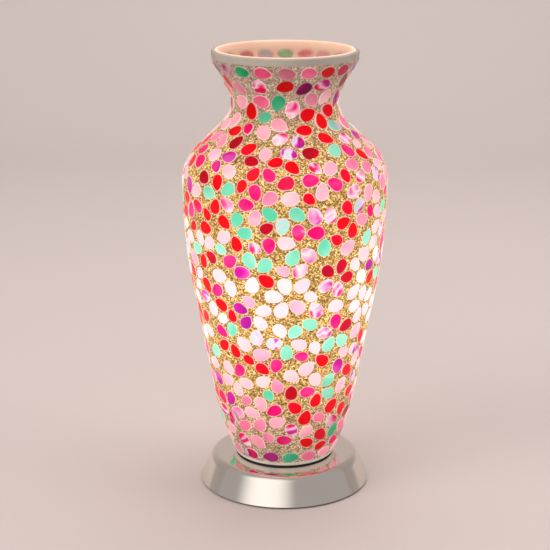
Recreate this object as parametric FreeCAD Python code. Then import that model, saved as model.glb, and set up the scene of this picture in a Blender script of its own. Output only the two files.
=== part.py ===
import FreeCAD, Part
import math
import os
import random
from itertools import combinations

Vector = FreeCAD.Vector
UP = Vector(0, 0, 1)
CENTRE = Vector(0, 0, 0)

# Mosaic shade. Each corner of its outline is (radius, height, rounding radius).
VASE_FOOT_Z = 25.1
VASE_TOP_Z = 353.0
VASE_CORNERS = [
    (36.1, 16.0),
    (52.3, 52.2, 236.0),
    (79.4, 198.9, 414.0),
    (81.3, 265.5, 37.9),
    (36.1, 309.1, 19.6),
    (56.9, 344.5, 15.1),
    (58.0, 365.0),
]
GROUT_DEPTH = 0.45
GLASS_DEPTH = 2.8
GLASS_WALL = 2.6
FOOT_BAND = 3.0
RIM_BAND = 6.2
RIM_SET_BACK = 0.6
GROUT_SECTORS = 12
FOOT_BAND_Z = VASE_FOOT_Z + FOOT_BAND
RIM_BAND_Z = VASE_TOP_Z - RIM_BAND
GROUT_ROW_Z = [FOOT_BAND_Z, 70, 112, 154, 196, 228, 244, 256, 266, 276, 288, 300, 312, 324, 336, RIM_BAND_Z]

# Glass chips: egg-shaped outlines from four arcs, and circles (place along the chip, radius) that cover one
CHIP_LENGTH = 14.6
CHIP_ROUND_R = 5.65
CHIP_TIP_R = 2.4
CHIP_SIDE_R = 9.6
CHIP_THICKNESS = 2.0
CHIP_COVER = [(1.65, 5.75), (-0.7, 5.4), (-2.7, 4.25), (-4.9, 2.5)]
CHIP_DEPTH = 0.2
CHIP_GAP = 0.02
CHIP_SEED = 20
FLOWER_SPACING = 28.5
FLOWER_EYE = 3.0
FILL_STEPS = (9.4, 10.2, 10.8, 11.4, 12.0, 12.6, 13.4)
CREAM_LOW_Z = 100.0
CREAM_HIGH_Z = 232.0
CHIP_COLOURS = {
    "chips_blush": 0.24,
    "chips_pink": 0.13,
    "chips_hot_pink": 0.12,
    "chips_red": 0.16,
    "chips_crimson": 0.05,
    "chips_mint": 0.11,
    "chips_cream": 0.05,
    "chips_magenta": 0.05,
    "chips_marbled_rose": 0.09,
    "chips_marbled_violet": 0.06,
}

# Base
BASE_SHEET = 1.2
BASE_TOP_Z = 23.8
BASE_RIM = (68.5, 1.7)
BASE_SHOULDER = (58.8, BASE_TOP_Z)
BASE_CORNERS = [BASE_RIM, BASE_SHOULDER + (6.75,), (5.3, BASE_TOP_Z)]
FOOT_THICKNESS = 1.7
PLATE_R = 64.4
PLATE_THICKNESS = 1.2
BALLAST_R = 52.0
BALLAST_BOTTOM_Z = 14.0
PLATE_SCREW_CIRCLE_R = 40.0
PLATE_SCREW_ANGLES = (30, 150, 270)
GASKET_TOP_Z = VASE_FOOT_Z
GALLERY_R = 33.2
GALLERY_LIP_Z = 33.0

# Stem, an M10 x 1 tube, and the nuts on it
STEM_R = 5.0
STEM_BORE_R = 3.5
STEM_BOTTOM_Z = 9.0
STEM_TOP_Z = 87.0
NUT_HOLE_R = 5.1
NUT_ACROSS_FLATS = 14.0
NUT_THICKNESS = 3.0
STEM_COVER_R = 7.0

# Lampholder for a small screw cap of 2.822 mm pitch
HOLDER_BOTTOM_Z = 76.0
HOLDER_JOINT_Z = 91.0
HOLDER_TOP_Z = 124.0
HOLDER_R = 13.6
HOLDER_WALL = 1.4
HOLDER_THREAD_R = 14.3
INSERT_R = 12.0
INSERT_BOTTOM_Z = 89.0
INSERT_FLOOR_Z = 100.0
INSERT_TOP_Z = 120.0
THREAD_PITCH = 2.822
THREAD_DEPTH = 0.6
SHELL_INNER_R = 7.3
SHELL_SEAT = 1.4

# Bulb
BULB_TIP_Z = 102.5
TIP_THICKNESS = 1.2
CAP_BOTTOM_Z = 106.0
CAP_TOP_Z = 127.0
CAP_R = 6.85
CAP_TURNS = 5
GLOBE_R = 22.5
GLOBE_Z = 158.0
GLOBE_WALL = 0.8
GLOBE_NECK_R = 9.2

# Cord inlet and inner wiring
INLET_Z = 10.5
INLET_BORE_R = 3.3
INLET_SLEEVE_R = 4.6
INLET_FLANGE_R = 5.8
INLET_INNER_Y = 53.0
INLET_LENGTH = 14.5
GRIP_Y = 44.0
GRIP_SCREW_X = 7.0
BLOCK_FRONT_Y = 22.0
BLOCK_DEPTH = 10.0
BLOCK_BOTTOM_Z = 4.5
BLOCK_TOP_Z = 12.5
POLE_X = (-8.0, 0.0, 8.0)
LEAD_R = 0.75
LEAD_LOW_Z = 7.4
LEAD_HIGH_Z = STEM_TOP_Z + 0.95
EARTH_X = 26.0
EARTH_Y = 8.0
EARTH_BOSS_Z = 8.4


# Shape helpers

def ring(r_in, r_out, z_low, z_high):
    outer = Part.makeCylinder(r_out, z_high - z_low, Vector(0, 0, z_low))
    return outer.cut(Part.makeCylinder(r_in, z_high - z_low, Vector(0, 0, z_low)))


def disc(radius, z_low, z_high, x=0.0, y=0.0):
    return Part.makeCylinder(radius, z_high - z_low, Vector(x, y, z_low))


def box(x_low, x_high, y_low, y_high, z_low, z_high):
    corner = Vector(x_low, y_low, z_low)
    return Part.makeBox(x_high - x_low, y_high - y_low, z_high - z_low, corner)


def along_y(radius, length, x, y, z):
    return Part.makeCylinder(radius, length, Vector(x, y, z), Vector(0, 1, 0))


def screw(head_r, head_height, shank_r, z_head, z_end, x, y):
    """A pan-head screw that points up, with a cross recess in its head."""
    z_seat = z_head + head_height
    body = disc(head_r, z_head, z_seat, x, y).fuse(disc(shank_r, z_seat, z_end, x, y))
    reach = 0.62 * head_r
    depth = 0.5 * head_height
    slot = box(x - reach, x + reach, y - 0.35, y + 0.35, z_head, z_head + depth)
    cross = slot.fuse(box(x - 0.35, x + 0.35, y - reach, y + reach, z_head, z_head + depth))
    return body.cut(cross).removeSplitter()


def revolved(points):
    """Turn a closed (radius, height) polygon about the lamp's axis."""
    outline = [Vector(r, 0, z) for r, z in points]
    face = Part.Face(Part.makePolygon(outline + outline[:1]))
    return face.revolve(CENTRE, UP, 360)


def hex_nut(z_low, z_high):
    corner_r = NUT_ACROSS_FLATS / math.sqrt(3)
    corners = [
        Vector(corner_r * math.cos(math.radians(a)), corner_r * math.sin(math.radians(a)), z_low)
        for a in range(0, 420, 60)
    ]
    prism = Part.Face(Part.makePolygon(corners)).extrude(UP * (z_high - z_low))
    return prism.cut(disc(NUT_HOLE_R, z_low, z_high))


def unit(start, end):
    return Vector(end - start).normalize()


def rounded_edges(corners):
    """Lines joined by tangent arcs through (radius, height, rounding radius) corners."""
    points = [Vector(c[0], 0, c[1]) for c in corners]
    edges = []
    start = points[0]
    for before, corner, after, spec in zip(points, points[1:], points[2:], corners[1:]):
        u = unit(before, corner)
        v = unit(corner, after)
        half_turn = u.getAngle(v) / 2
        reach = spec[2] * math.tan(half_turn)
        bulge = spec[2] * (1 / math.cos(half_turn) - 1)
        arc_start = corner - u * reach
        arc_end = corner + v * reach
        arc_middle = corner + Vector(v - u).normalize() * bulge
        edges.append(Part.LineSegment(start, arc_start).toShape())
        edges.append(Part.Arc(arc_start, arc_middle, arc_end).toShape())
        start = arc_end
    edges.append(Part.LineSegment(start, points[-1]).toShape())
    return edges


def inset(corners, depth):
    """The same outline moved towards the lamp's axis by depth."""
    points = [Vector(c[0], 0, c[1]) for c in corners]
    sides = [unit(a, b) for a, b in zip(points, points[1:])]
    inward = [Vector(-side.z, 0, side.x) for side in sides]
    first = points[0] + inward[0] * depth
    moved = [(first.x, first.z)]
    for index, corner in enumerate(corners[1:-1]):
        n1 = inward[index]
        n2 = inward[index + 1]
        shift = (n1 + n2) * (depth / (1 + n1.dot(n2)))
        place = points[index + 1] + shift
        turns_inward = sides[index].z * sides[index + 1].x < sides[index].x * sides[index + 1].z
        radius = corner[2] - depth if turns_inward else corner[2] + depth
        moved.append((place.x, place.z, radius))
    last = points[-1] + inward[-1] * depth
    moved.append((last.x, last.z))
    return moved


def turned_wall(corners, depth_out, depth_in, angle=360):
    """A wall of revolution between two depths below a rounded outline."""
    outer = rounded_edges(inset(corners, depth_out))
    inner = rounded_edges(inset(corners, depth_in))
    ends = [
        Part.LineSegment(outer[0].Vertexes[0].Point, inner[0].Vertexes[0].Point).toShape(),
        Part.LineSegment(outer[-1].Vertexes[-1].Point, inner[-1].Vertexes[-1].Point).toShape(),
    ]
    wire = Part.Wire(Part.__sortEdges__(outer + ends + inner))
    return Part.Face(wire).revolve(CENTRE, UP, angle)


def between(shape, z_low, z_high):
    return shape.common(disc(2 * VASE_CORNERS[3][0], z_low, z_high))


def rounded_path(points, radius):
    edges = []
    start = points[0]
    for before, corner, after in zip(points, points[1:], points[2:]):
        u = unit(before, corner)
        v = unit(corner, after)
        half_turn = u.getAngle(v) / 2
        reach = radius * math.tan(half_turn)
        bulge = radius * (1 / math.cos(half_turn) - 1)
        arc_end = corner + v * reach
        arc_middle = corner + Vector(v - u).normalize() * bulge
        edges.append(Part.LineSegment(start, corner - u * reach).toShape())
        edges.append(Part.Arc(corner - u * reach, arc_middle, arc_end).toShape())
        start = arc_end
    edges.append(Part.LineSegment(start, points[-1]).toShape())
    return Part.Wire(edges)


def tube(points, bend_radius, radius):
    path = rounded_path(points, bend_radius)
    section = Part.Wire(Part.makeCircle(radius, points[0], unit(points[0], points[1])))
    return path.makePipeShell([section], True, False)


def threaded_wall(r_crest, wall, z_low, turns):
    """A thin sleeve with ring grooves of the thread's pitch and depth."""
    outer = [(r_crest, z_low)]
    for turn in range(turns):
        z = z_low + turn * THREAD_PITCH
        outer.append((r_crest - THREAD_DEPTH, z + THREAD_PITCH / 2))
        outer.append((r_crest, z + THREAD_PITCH))
    inner = [(r - wall, z) for r, z in reversed(outer)]
    return revolved(outer + inner)


# Base

def foot_ring():
    return ring(58.5, 66.6, 0, FOOT_THICKNESS)


def inlet_cylinder(radius, y_start, length):
    return along_y(radius, length, 0, y_start, INLET_Z)


def base_shell():
    shell = turned_wall(BASE_CORNERS, 0, BASE_SHEET)
    return shell.cut(inlet_cylinder(INLET_SLEEVE_R, INLET_INNER_Y, INLET_LENGTH + 10))


def plate_screw_places():
    for angle in PLATE_SCREW_ANGLES:
        a = math.radians(angle)
        yield PLATE_SCREW_CIRCLE_R * math.cos(a), PLATE_SCREW_CIRCLE_R * math.sin(a)


def bottom_plate():
    top = FOOT_THICKNESS + PLATE_THICKNESS
    plate = disc(PLATE_R, FOOT_THICKNESS, top)
    for x, y in plate_screw_places():
        plate = plate.cut(disc(1.8, FOOT_THICKNESS, top, x, y))
    return plate


def plate_screws():
    screws = [screw(3.0, 1.2, 1.5, FOOT_THICKNESS - 1.2, 13.0, x, y) for x, y in plate_screw_places()]
    return Part.makeCompound(screws)


def ballast_disc():
    """Cast disc with a boss for each plate screw and one for the earth screw."""
    top = BASE_TOP_Z - BASE_SHEET
    plate_top = FOOT_THICKNESS + PLATE_THICKNESS
    ballast = ring(5.6, BALLAST_R, BALLAST_BOTTOM_Z, top)
    for x, y in plate_screw_places():
        ballast = ballast.fuse(disc(4.5, plate_top, BALLAST_BOTTOM_Z + 1, x, y))
    ballast = ballast.fuse(disc(4.0, EARTH_BOSS_Z, BALLAST_BOTTOM_Z + 1, EARTH_X, EARTH_Y))
    for x, y in plate_screw_places():
        ballast = ballast.cut(disc(1.7, plate_top, BALLAST_BOTTOM_Z, x, y))
    for x in (-GRIP_SCREW_X, GRIP_SCREW_X):
        ballast = ballast.cut(disc(1.5, BALLAST_BOTTOM_Z, BALLAST_BOTTOM_Z + 4, x, GRIP_Y))
    ballast = ballast.cut(disc(1.7, EARTH_BOSS_Z, BALLAST_BOTTOM_Z, EARTH_X, EARTH_Y))
    return ballast.removeSplitter()


def clamp_washer():
    return ring(5.3, 13.0, BALLAST_BOTTOM_Z - BASE_SHEET, BALLAST_BOTTOM_Z)


def stem_nut():
    top = BALLAST_BOTTOM_Z - BASE_SHEET
    return hex_nut(top - NUT_THICKNESS, top)


def threaded_stem():
    return ring(STEM_BORE_R, STEM_R, STEM_BOTTOM_Z, STEM_TOP_Z)


def seat_gasket():
    return ring(GALLERY_R + 0.4, 39.3, BASE_TOP_Z, GASKET_TOP_Z)


def gallery_ring():
    floor = BASE_TOP_Z + BASE_SHEET
    lip_r = GALLERY_R - BASE_SHEET
    return revolved([
        (5.3, BASE_TOP_Z),
        (GALLERY_R, BASE_TOP_Z),
        (GALLERY_R, GALLERY_LIP_Z),
        (lip_r, GALLERY_LIP_Z),
        (lip_r, floor),
        (5.3, floor),
    ])


def gallery_nut():
    floor = BASE_TOP_Z + BASE_SHEET
    return hex_nut(floor, floor + NUT_THICKNESS)


def stem_cover():
    floor = BASE_TOP_Z + BASE_SHEET
    return ring(STEM_COVER_R - 0.9, STEM_COVER_R, floor + NUT_THICKNESS, HOLDER_BOTTOM_Z)


# Lampholder

def lampholder_cap():
    shoulder_z = HOLDER_BOTTOM_Z + 5.0
    floor_z = HOLDER_BOTTOM_Z + 1.6
    return revolved([
        (NUT_HOLE_R, HOLDER_BOTTOM_Z),
        (9.0, HOLDER_BOTTOM_Z),
        (HOLDER_R, shoulder_z),
        (HOLDER_R, HOLDER_JOINT_Z),
        (HOLDER_R - HOLDER_WALL, HOLDER_JOINT_Z),
        (HOLDER_R - HOLDER_WALL, shoulder_z + 0.8),
        (8.4, floor_z),
        (NUT_HOLE_R, floor_z),
    ])


def lampholder_barrel():
    step_z = HOLDER_JOINT_Z + 18.0
    inner_r = HOLDER_R - 1.3
    return revolved([
        (inner_r, HOLDER_JOINT_Z),
        (HOLDER_R, HOLDER_JOINT_Z),
        (HOLDER_R, step_z),
        (HOLDER_THREAD_R, step_z),
        (HOLDER_THREAD_R, HOLDER_TOP_Z),
        (inner_r, HOLDER_TOP_Z),
    ])


def lampholder_insert():
    floor = disc(INSERT_R, INSERT_BOTTOM_Z, INSERT_FLOOR_Z)
    return floor.fuse(ring(9.6, INSERT_R, INSERT_FLOOR_Z, INSERT_TOP_Z)).removeSplitter()


def lampholder_ring():
    return ring(HOLDER_THREAD_R + 0.2, 19.0, HOLDER_TOP_Z - 14.0, HOLDER_TOP_Z - 10.0)


def holder_terminals():
    low = INSERT_BOTTOM_Z - 4.5
    return Part.makeCompound([
        box(6, 10, -2.5, 2.5, low, INSERT_BOTTOM_Z),
        box(-10, -6, -2.5, 2.5, low, INSERT_BOTTOM_Z),
    ])


def screw_shell():
    thread_z = INSERT_FLOOR_Z + SHELL_SEAT
    sleeve = threaded_wall(SHELL_INNER_R + THREAD_DEPTH + 0.5, 0.5, thread_z, 6)
    flange = ring(SHELL_INNER_R + 0.2, 9.4, INSERT_FLOOR_Z, thread_z)
    return sleeve.fuse(flange).removeSplitter()


def centre_contact():
    leaf_top = INSERT_FLOOR_Z + 0.6
    leaf = box(-4.5, 4.5, -2, 2, INSERT_FLOOR_Z, leaf_top)
    return leaf.fuse(disc(1.6, leaf_top, BULB_TIP_Z)).removeSplitter()


# Bulb

def bulb_tip_contact():
    top = BULB_TIP_Z + TIP_THICKNESS
    return revolved([(0, BULB_TIP_Z), (1.8, BULB_TIP_Z), (2.4, BULB_TIP_Z + 0.6), (2.4, top), (0, top)])


def bulb_cap_insulator():
    low = BULB_TIP_Z + TIP_THICKNESS
    return revolved([(0, low), (3.2, low), (5.7, CAP_BOTTOM_Z), (0, CAP_BOTTOM_Z)])


def bulb_cap():
    grooves = threaded_wall(CAP_R, 0.4, CAP_BOTTOM_Z, CAP_TURNS)
    top = CAP_BOTTOM_Z + CAP_TURNS * THREAD_PITCH
    collar = revolved([
        (CAP_R - 0.4, top),
        (CAP_R, top),
        (CAP_R, top + 2.5),
        (GLOBE_NECK_R, CAP_TOP_Z),
        (GLOBE_NECK_R - 0.5, CAP_TOP_Z),
        (CAP_R - 0.4, top + 3.0),
    ])
    return grooves.fuse(collar).removeSplitter()


def globe_body(neck_r, globe_r, neck_z):
    """A sphere with a cone that leaves it at a tangent, down to the neck."""
    drop = GLOBE_Z - neck_z
    reach = math.hypot(neck_r, drop)
    angle = math.atan2(-drop, neck_r) + math.acos(globe_r / reach)
    tangent = Vector(globe_r * math.cos(angle), 0, GLOBE_Z + globe_r * math.sin(angle))
    middle_angle = (angle + math.pi / 2) / 2
    middle = Vector(globe_r * math.cos(middle_angle), 0, GLOBE_Z + globe_r * math.sin(middle_angle))
    top = Vector(0, 0, GLOBE_Z + globe_r)
    foot = Vector(0, 0, neck_z)
    edge = Vector(neck_r, 0, neck_z)
    wire = Part.Wire([
        Part.LineSegment(foot, edge).toShape(),
        Part.LineSegment(edge, tangent).toShape(),
        Part.Arc(tangent, middle, top).toShape(),
        Part.LineSegment(top, foot).toShape(),
    ])
    return Part.Face(wire).revolve(CENTRE, UP, 360)


def bulb_envelope():
    outer = globe_body(GLOBE_NECK_R, GLOBE_R, CAP_TOP_Z)
    return outer.cut(globe_body(GLOBE_NECK_R - GLOBE_WALL, GLOBE_R - GLOBE_WALL, CAP_TOP_Z - 1))


def bulb_stem():
    low = CAP_TOP_Z - 2
    return revolved([(0, low), (5.0, low), (2.4, low + 12), (1.6, low + 28), (0, low + 29)])


def bulb_driver():
    return disc(4.6, CAP_BOTTOM_Z + 1, CAP_BOTTOM_Z + 15)


def led_filaments():
    rods = []
    for angle in (45, 135, 225, 315):
        a = math.radians(angle)
        foot = Vector(4.5 * math.cos(a), 4.5 * math.sin(a), GLOBE_Z - 16)
        tip = Vector(9.0 * math.cos(a), 9.0 * math.sin(a), GLOBE_Z + 11)
        rods.append(Part.makeCylinder(0.9, (tip - foot).Length, foot, tip - foot))
    return Part.makeCompound(rods)


# Cord inlet and wiring

def base_outside():
    """Everything within the base's sloping side, a little beyond both its edges."""
    slope = (BASE_SHOULDER[0] - BASE_RIM[0]) / (BASE_SHOULDER[1] - BASE_RIM[1])
    low = -10.0
    high = 40.0
    low_r = BASE_RIM[0] + slope * (low - BASE_RIM[1])
    high_r = BASE_RIM[0] + slope * (high - BASE_RIM[1])
    return revolved([(0, low), (low_r, low), (high_r, high), (0, high)])


def cord_grommet():
    """Sleeve with a flange inside the shell and one that follows its slope outside."""
    sleeve = inlet_cylinder(INLET_SLEEVE_R, INLET_INNER_Y, INLET_LENGTH)
    outer_flange = inlet_cylinder(INLET_FLANGE_R, INLET_INNER_Y, INLET_LENGTH).cut(base_outside())
    inner_flange = inlet_cylinder(INLET_FLANGE_R, INLET_INNER_Y, 3)
    body = sleeve.fuse(outer_flange).fuse(inner_flange)
    return body.cut(inlet_cylinder(INLET_BORE_R, INLET_INNER_Y, INLET_LENGTH)).removeSplitter()


def cord_grip():
    low = INLET_Z - 4.4
    saddle = box(-11, 11, GRIP_Y - 4, GRIP_Y + 4, low, BALLAST_BOTTOM_Z)
    saddle = saddle.cut(inlet_cylinder(INLET_BORE_R, GRIP_Y - 4, 8))
    for x in (-GRIP_SCREW_X, GRIP_SCREW_X):
        saddle = saddle.cut(disc(1.6, low, BALLAST_BOTTOM_Z, x, GRIP_Y))
    return saddle


def cord_grip_screws():
    low = INLET_Z - 4.4
    places = (-GRIP_SCREW_X, GRIP_SCREW_X)
    thread_end = BALLAST_BOTTOM_Z + 3.5
    return Part.makeCompound([screw(2.6, 1.3, 1.3, low - 1.3, thread_end, x, GRIP_Y) for x in places])


def pole_rows():
    return BLOCK_FRONT_Y + 2.5, BLOCK_FRONT_Y + BLOCK_DEPTH - 2.5


def terminal_block():
    block = box(-12, 12, BLOCK_FRONT_Y, BLOCK_FRONT_Y + BLOCK_DEPTH, BLOCK_BOTTOM_Z, BLOCK_TOP_Z)
    for x in POLE_X:
        block = block.cut(along_y(2.0, BLOCK_DEPTH, x, BLOCK_FRONT_Y, LEAD_LOW_Z))
        for y in pole_rows():
            block = block.cut(disc(1.5, LEAD_LOW_Z, BLOCK_TOP_Z, x, y))
    return block


def terminal_sleeves():
    sleeves = []
    length = BLOCK_DEPTH - 1
    for x in POLE_X:
        sleeve = along_y(1.9, length, x, BLOCK_FRONT_Y + 0.5, LEAD_LOW_Z)
        sleeves.append(sleeve.cut(along_y(1.0, length, x, BLOCK_FRONT_Y + 0.5, LEAD_LOW_Z)))
    return Part.makeCompound(sleeves)


def terminal_screws():
    low = LEAD_LOW_Z + 2.0
    screws = []
    for x in POLE_X:
        for y in pole_rows():
            slot = box(x - 1.0, x + 1.0, y - 0.25, y + 0.25, BLOCK_TOP_Z - 1.2, BLOCK_TOP_Z - 0.6)
            screws.append(disc(1.3, low, BLOCK_TOP_Z - 0.6, x, y).cut(slot))
    return Part.makeCompound(screws)


def holder_lead(side, pole_x):
    """From the terminal block, up through the stem, to a lampholder terminal."""
    column_x = side * 1.4
    return tube([
        Vector(pole_x, BLOCK_FRONT_Y - 0.1, LEAD_LOW_Z),
        Vector(column_x, 0, LEAD_LOW_Z),
        Vector(column_x, 0, LEAD_HIGH_Z),
        Vector(side * 6.0, 0, LEAD_HIGH_Z),
    ], 1.9, LEAD_R)


def live_lead():
    return holder_lead(-1, POLE_X[0])


def neutral_lead():
    return holder_lead(1, POLE_X[1])


def earth_lead():
    return tube([
        Vector(POLE_X[2], BLOCK_FRONT_Y - 0.1, LEAD_LOW_Z),
        Vector(POLE_X[2] + 3, EARTH_Y, LEAD_LOW_Z),
        Vector(EARTH_X - 8.0, EARTH_Y, LEAD_LOW_Z),
    ], 4.0, LEAD_R)


def earth_tag():
    eye_low = EARTH_BOSS_Z - 0.8
    tongue = box(EARTH_X - 8.0, EARTH_X - 3.2, EARTH_Y - 1.4, EARTH_Y + 1.4, LEAD_LOW_Z - 1, EARTH_BOSS_Z)
    eye = disc(4.0, eye_low, EARTH_BOSS_Z, EARTH_X, EARTH_Y)
    hole = disc(1.7, eye_low, EARTH_BOSS_Z, EARTH_X, EARTH_Y)
    return tongue.fuse(eye).cut(hole).removeSplitter()


def earth_screw():
    eye_low = EARTH_BOSS_Z - 0.8
    return screw(3.0, 1.6, 1.5, eye_low - 1.6, BALLAST_BOTTOM_Z - 0.5, EARTH_X, EARTH_Y)


# Mosaic shade

def glass_vase():
    wall = turned_wall(VASE_CORNERS, GLASS_DEPTH, GLASS_DEPTH + GLASS_WALL)
    return between(wall, VASE_FOOT_Z, VASE_TOP_Z)


def grout_patches(heights):
    """The grout between these heights, in patches side by side so that each is nearly flat."""
    sector = 360 / GROUT_SECTORS
    wedge = turned_wall(VASE_CORNERS, GROUT_DEPTH, GLASS_DEPTH, sector)
    patches = []
    for z_low, z_high in zip(heights, heights[1:]):
        patch = between(wedge, z_low, z_high).Solids[0]
        for number in range(GROUT_SECTORS):
            patches.append(patch.rotated(CENTRE, UP, number * sector))
    return Part.makeCompound(patches)


def foot_band():
    return grout_patches([VASE_FOOT_Z, FOOT_BAND_Z])


def glitter_grout():
    return grout_patches(GROUT_ROW_Z)


def rim_band():
    return grout_patches([RIM_BAND_Z, VASE_TOP_Z - RIM_SET_BACK])


class Surface:
    """The shade's outline by height: radius, slope and outward normal."""

    def __init__(self):
        wire = Part.Wire(rounded_edges(VASE_CORNERS))
        self.points = wire.discretize(Distance=0.5)

    def index(self, z):
        low = 0
        high = len(self.points) - 1
        while high - low > 1:
            middle = (low + high) // 2
            if self.points[middle].z <= z:
                low = middle
            else:
                high = middle
        return low

    def along(self, index, distance):
        steps = int(round(distance / 0.5))
        return self.points[max(0, min(len(self.points) - 1, index + steps))]

    def frame(self, z, angle):
        """Point, direction round the shade, direction up its wall, outward normal."""
        index = self.index(z)
        here = self.points[index]
        slope = unit(here, self.points[index + 1])
        c = math.cos(angle)
        s = math.sin(angle)
        point = Vector(here.x * c, here.x * s, here.z)
        around = Vector(-s, c, 0)
        upward = Vector(slope.x * c, slope.x * s, slope.z)
        return point, around, upward, around.cross(upward)


class Chip:
    """One glass chip: its place, its axis from tip to round end, and its size."""

    def __init__(self, surface, z, angle, heading, size):
        point, around, upward, normal = surface.frame(z, angle)
        self.axis = around * math.cos(heading) + upward * math.sin(heading)
        self.normal = normal
        self.size = size
        self.height = z
        self.angle = angle
        reach = size * math.hypot(CHIP_LENGTH / 2 * math.sin(heading), CHIP_ROUND_R * math.cos(heading))
        index = surface.index(z)
        here = surface.points[index]
        slope = unit(here, surface.points[index + 1])
        outward = Vector(slope.z, 0, -slope.x)
        rise = max((surface.along(index, side * reach) - here).dot(outward) for side in (-1, 1))
        self.centre = point + normal * (max(0.0, rise - 0.1) - CHIP_DEPTH)
        self.cover = [
            [(self.centre + self.axis * (x * size) - normal * depth, r * size) for x, r in CHIP_COVER]
            for depth in (0.0, CHIP_THICKNESS)
        ]

    def clears(self, other):
        """Whether two chips keep their gap, both at their faces and at their undersides."""
        if (self.centre - other.centre).Length > CHIP_LENGTH / 2 * (self.size + other.size) + CHIP_GAP:
            return True
        for mine, theirs in zip(self.cover, other.cover):
            for spot, radius in mine:
                for other_spot, other_radius in theirs:
                    if (spot - other_spot).Length < radius + other_radius + CHIP_GAP:
                        return False
        return True

    def solid(self):
        k = self.size
        across = self.normal.cross(self.axis)
        round_x = CHIP_LENGTH / 2 - CHIP_ROUND_R
        tip_x = CHIP_TIP_R - CHIP_LENGTH / 2
        span = round_x - tip_x
        to_round = CHIP_SIDE_R - CHIP_ROUND_R
        to_tip = CHIP_SIDE_R - CHIP_TIP_R
        along = (span ** 2 + to_round ** 2 - to_tip ** 2) / (2 * span)
        side_x = round_x - along
        side_y = math.sqrt(to_round ** 2 - along ** 2)

        def place(x, y):
            return self.centre + self.axis * (x * k) + across * (y * k)

        def touch(x, radius, side):
            reach = math.hypot(x - side_x, side_y)
            return place(x + (x - side_x) / reach * radius, side * side_y / reach * radius)

        round_point = {side: touch(round_x, CHIP_ROUND_R, side) for side in (-1, 1)}
        tip_point = {side: touch(tip_x, CHIP_TIP_R, side) for side in (-1, 1)}
        middle_x = (round_x + tip_x) / 2
        middle_y = math.sqrt(CHIP_SIDE_R ** 2 - (middle_x - side_x) ** 2) - side_y
        arcs = [
            Part.Arc(round_point[-1], place(CHIP_LENGTH / 2, 0), round_point[1]),
            Part.Arc(round_point[1], place(middle_x, middle_y), tip_point[1]),
            Part.Arc(tip_point[1], place(-CHIP_LENGTH / 2, 0), tip_point[-1]),
            Part.Arc(tip_point[-1], place(middle_x, -middle_y), round_point[-1]),
        ]
        face = Part.Face(Part.Wire([arc.toShape() for arc in arcs]))
        return face.extrude(self.normal * -CHIP_THICKNESS)


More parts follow.
